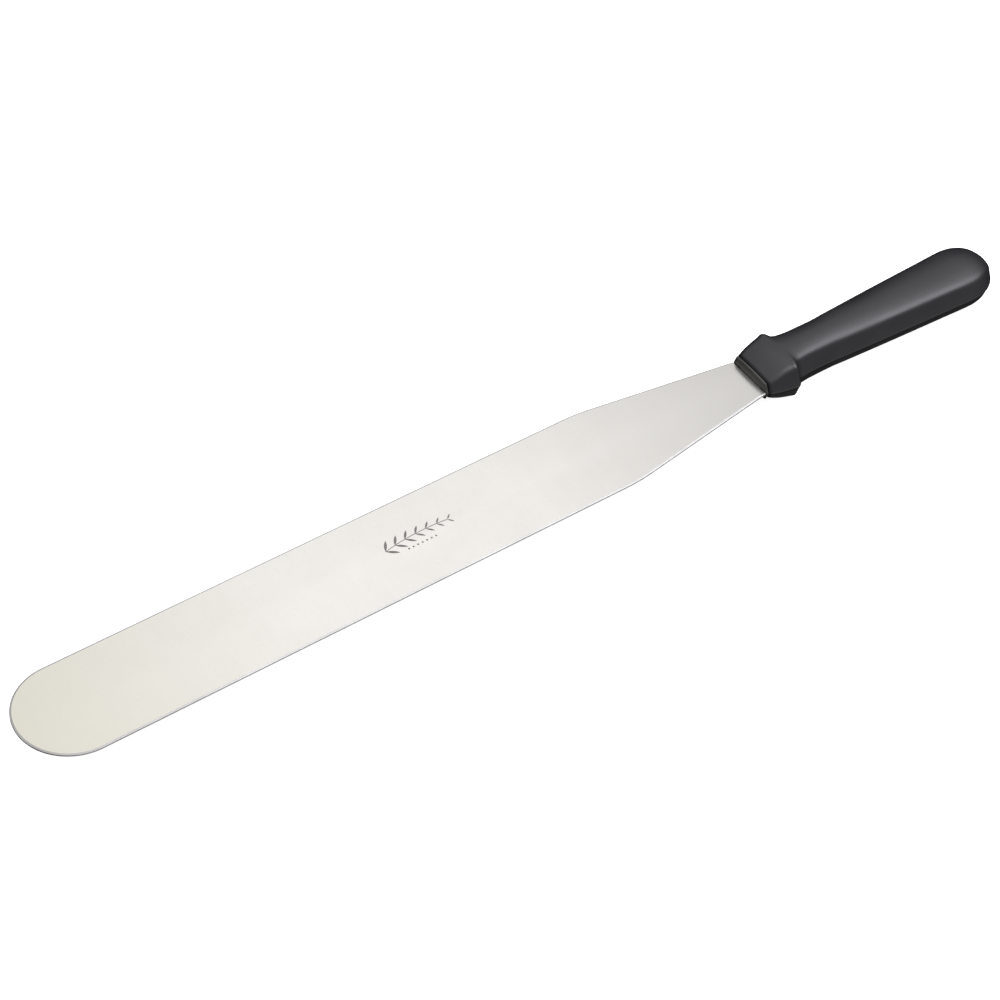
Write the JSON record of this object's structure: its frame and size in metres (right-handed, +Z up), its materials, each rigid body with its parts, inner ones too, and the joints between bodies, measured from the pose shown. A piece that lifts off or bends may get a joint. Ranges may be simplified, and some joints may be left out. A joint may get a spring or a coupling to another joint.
{
  "type": "ink knife",
  "caption": "Long flat steel ink knife with a round tip, tapered neck and a faceted moulded handle with a flared collar.",
  "frame": {"origin": "under the middle of the knife's length and width, on the plane of the handle's underside", "axes": "+X from the blade's tip to the butt of the handle, +Z up out of the blade's top face, +Y to the left of a hand that holds the handle and points the tip away, seen from above"},
  "size_m": [0.4836, 0.0494, 0.0192],
  "materials": {
    "blade_steel": "fine satin, brushed across the blade",
    "handle_black": "satin moulded polypropylene",
    "cap_black": "satin moulded polypropylene",
    "core_grey": "matt moulded plastic, hidden",
    "pin_steel": "plain drawn steel, hidden"
  },
  "bodies": {
    "root": {"blade": "blade_steel", "handle_shell": "handle_black", "front_cap": "cap_black", "core_top": "core_grey", "core_bottom": "core_grey", "tang_pin_front": "pin_steel", "tang_pin_rear": "pin_steel"}
  },
  "joints": []
}
